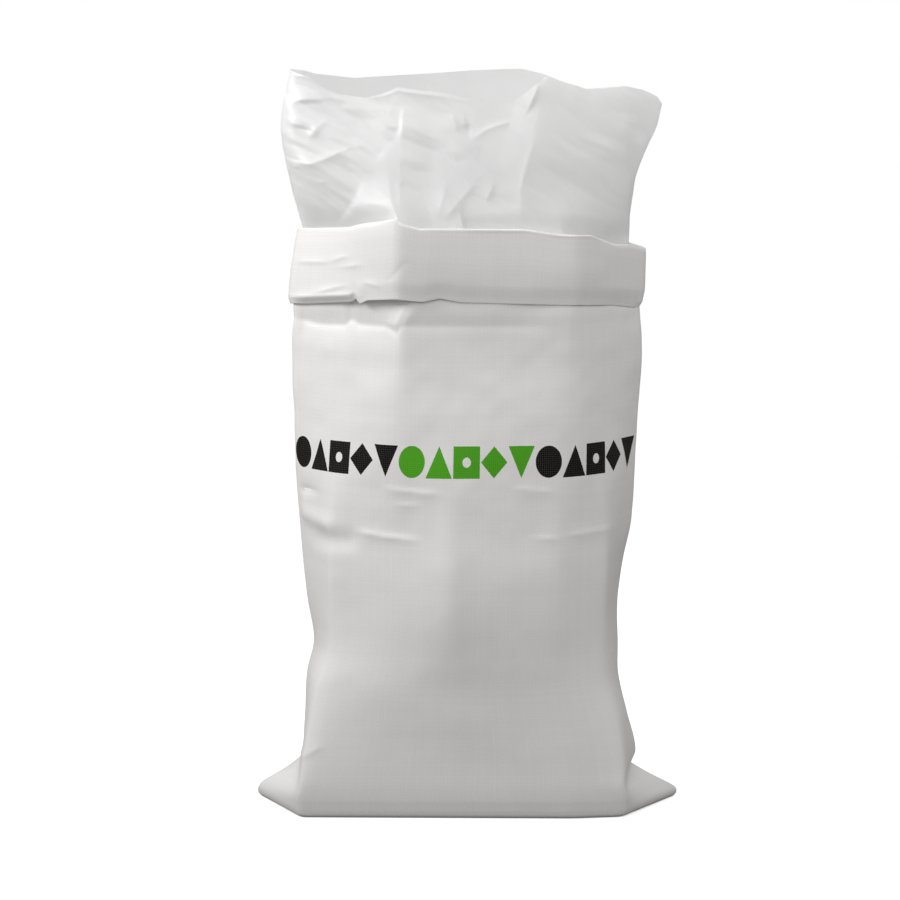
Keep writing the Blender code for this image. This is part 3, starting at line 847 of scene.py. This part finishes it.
tops = []
for share in inward:
    x = shore[:, 0] * share
    y = shore[:, 1] * share
    tops.append(np.column_stack([x, y, SUGAR_LEVEL + heap(x, y)]))
sugar_rings = np.concatenate([sides, np.array(tops)])
sugar_hub = sugar_rings[0].mean(axis=0)
sugar_peak = sugar_rings[-1].mean(axis=0)
sugar = ring_mesh("sugar", sugar_rings, run_along(sugar_rings), low_hub=sugar_hub, high_hub=sugar_peak,
                  map_name="heap")

# Loose crystals: small uneven blocks with edges of 0.4 to 1.2 mm, each turned its own way.
GRAINS = 3600
rng = np.random.default_rng(44)
angle = rng.uniform(0, 2 * math.pi, GRAINS)
spread_out = np.sqrt(rng.uniform(0, 0.86, GRAINS))
grain_x = 0.198 * spread_out * np.cos(angle)
grain_y = 0.112 * spread_out * np.sin(angle)
grain_size = rng.uniform(0.00035, 0.0006, GRAINS)
corners = np.array([(a, b, c) for a in (-1, 1) for b in (-1, 1) for c in (-1, 1)], float)
blocks = corners[None] * rng.uniform(0.6, 1.0, (GRAINS, 1, 3)) * grain_size[:, None, None]
turns = rng.normal(size=(GRAINS, 4))
turns /= np.linalg.norm(turns, axis=1, keepdims=True)
turn_amount = turns[:, :1, None]
turn_axis = np.broadcast_to(turns[:, None, 1:], blocks.shape)
swung = np.cross(turn_axis, blocks)
blocks = blocks + 2 * (turn_amount * swung + np.cross(turn_axis, swung))
centres = np.column_stack([grain_x, grain_y, SUGAR_LEVEL + heap(grain_x, grain_y) + 0.4 * grain_size])
grain_points = (blocks + centres[:, None]).reshape(-1, 3)
block_faces = np.array([(0, 1, 3, 2), (4, 6, 7, 5), (0, 4, 5, 1), (2, 3, 7, 6), (0, 2, 6, 4), (1, 5, 7, 3)])
grain_faces = (block_faces[None] + 8 * np.arange(GRAINS)[:, None, None]).reshape(-1, 4)
grain_mesh = bpy.data.meshes.new("loose_sugar")
grain_mesh.from_pydata(grain_points.tolist(), [], grain_faces.tolist())
grain_mesh.update()
grains = bpy.data.objects.new("loose_sugar", grain_mesh)
bpy.context.scene.collection.objects.link(grains)

# Refined sucrose, crystallised and dried: colourless blocks that scatter to a bright white heap with a faint
# sparkle. The crystals are 0.6 mm, drawn at about 0.9 mm so that they show.
crystal, tree = new_material("granulated_sugar")
place = add_node(tree, "TexCoord", output=3)
cells = add_node(tree, "TexVoronoi", {"Vector": place, "Scale": 1100.0}, output=0)
tint = cells.node.outputs[1]
bright = add_node(tree, "SeparateColor", {0: tint})
white = add_node(tree, "Mix", {0: bright, 6: linear("#E4E1DA"), 7: linear("#FBFAF6")}, output=2,
                 data_type="RGBA")
grit = add_node(tree, "Bump", {"Strength": 0.7, "Distance": 0.0006, "Height": cells}, invert=True)
sparkle = add_node(tree, "MapRange", {0: bright, 1: 0.0, 2: 1.0, 3: 0.20, 4: 0.65})
crystals = add_node(tree, "BsdfPrincipled", {
    "Base Color": white, "Roughness": sparkle, "IOR": 1.56, "Normal": grit,
})
add_node(tree, "OutputMaterial", {"Surface": crystals})
for piece in (sugar, grains):
    piece.data.materials.append(crystal)
    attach(piece, "root")
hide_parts("sugar")


# ---------------------------------------------------------------- floor, light and camera
# A plain white paper floor without an edge, soft light mostly from the upper left and the front, and a long
# lens that looks slightly down from the height of the film's rim.

FLOOR = 30
floor_corners = [(-FLOOR, -FLOOR, 0), (FLOOR, -FLOOR, 0), (FLOOR, FLOOR, 0), (-FLOOR, FLOOR, 0)]
floor_mesh = bpy.data.meshes.new("floor")
floor_mesh.from_pydata(floor_corners, [], [(0, 1, 2, 3)])
floor = bpy.data.objects.new("floor", floor_mesh)
bpy.context.scene.collection.objects.link(floor)

# Matt white paper. Where it is seen it is lifted to the white of the room, and it sends back less light.
floor_look, tree = new_material("matt_white_paper")
seen = add_node(tree, "LightPath", output=0)
paper = add_node(tree, "BsdfDiffuse", {"Color": linear("#F6F6F6")})
lift = add_node(tree, "Emission", {"Color": (1, 1, 1, 1), "Strength": 0.45})
lit_paper = add_node(tree, "AddShader", {0: paper, 1: lift})
bounce = add_node(tree, "BsdfDiffuse", {"Color": linear("#8A8887")})
paint = add_node(tree, "MixShader", {0: seen, 1: bounce, 2: lit_paper})
add_node(tree, "OutputMaterial", {"Surface": paint})
floor_mesh.materials.append(floor_look)

scene = bpy.context.scene
world = bpy.data.worlds.new("studio")
world.use_nodes = True
tree = world.node_tree
tree.nodes.clear()
seen = add_node(tree, "LightPath", output=0)
plain = add_node(tree, "Background", {"Color": (1, 1, 1, 1), "Strength": 1.0})
fill = add_node(tree, "Background", {"Color": (1, 0.995, 0.985, 1), "Strength": 0.61})
sky = add_node(tree, "MixShader", {0: seen, 1: fill, 2: plain})
add_node(tree, "OutputWorld", {"Surface": sky})
scene.world = world


def soft_box(name, place, target, width, height, power):
    """A rectangular studio light at a place, turned to face a target."""
    light = bpy.data.lights.new(name, "AREA")
    light.shape = "RECTANGLE"
    light.size = width
    light.size_y = height
    light.energy = power
    lamp = bpy.data.objects.new(name, light)
    lamp.location = place
    lamp.visible_camera = False
    lamp.rotation_euler = (Vector(target) - Vector(place)).to_track_quat("-Z", "Y").to_euler()
    scene.collection.objects.link(lamp)
    return light


soft_box("key", (-1.20, -0.32, 1.25), (-0.1, -0.05, 0.62), 0.5, 0.5, 11.0)
soft_box("front", (-0.05, -1.7, 1.45), (0, 0, 0.5), 1.2, 0.9, 9.2)
soft_box("right", (0.85, -0.5, 1.25), (0.15, -0.05, 0.65), 0.5, 0.5, 1.2)
into_mouth = soft_box("top", (0, 0, 2.1), (0, 0, 0.4), 0.36, 0.12, 0.15)
into_mouth.spread = math.radians(30)
soft_box("back", (0.1, 1.3, 1.15), (0, 0, 0.82), 1.0, 0.5, 3.6)

camera = bpy.data.objects.new("camera", bpy.data.cameras.new("camera"))
camera.data.lens = 100
camera.data.sensor_width = 36
camera.location = (-0.0218, -3.0, 0.86)
camera.rotation_euler = (math.radians(90 - 8.13), 0, 0)
scene.collection.objects.link(camera)
scene.camera = camera
scene.view_settings.view_transform = "Standard"
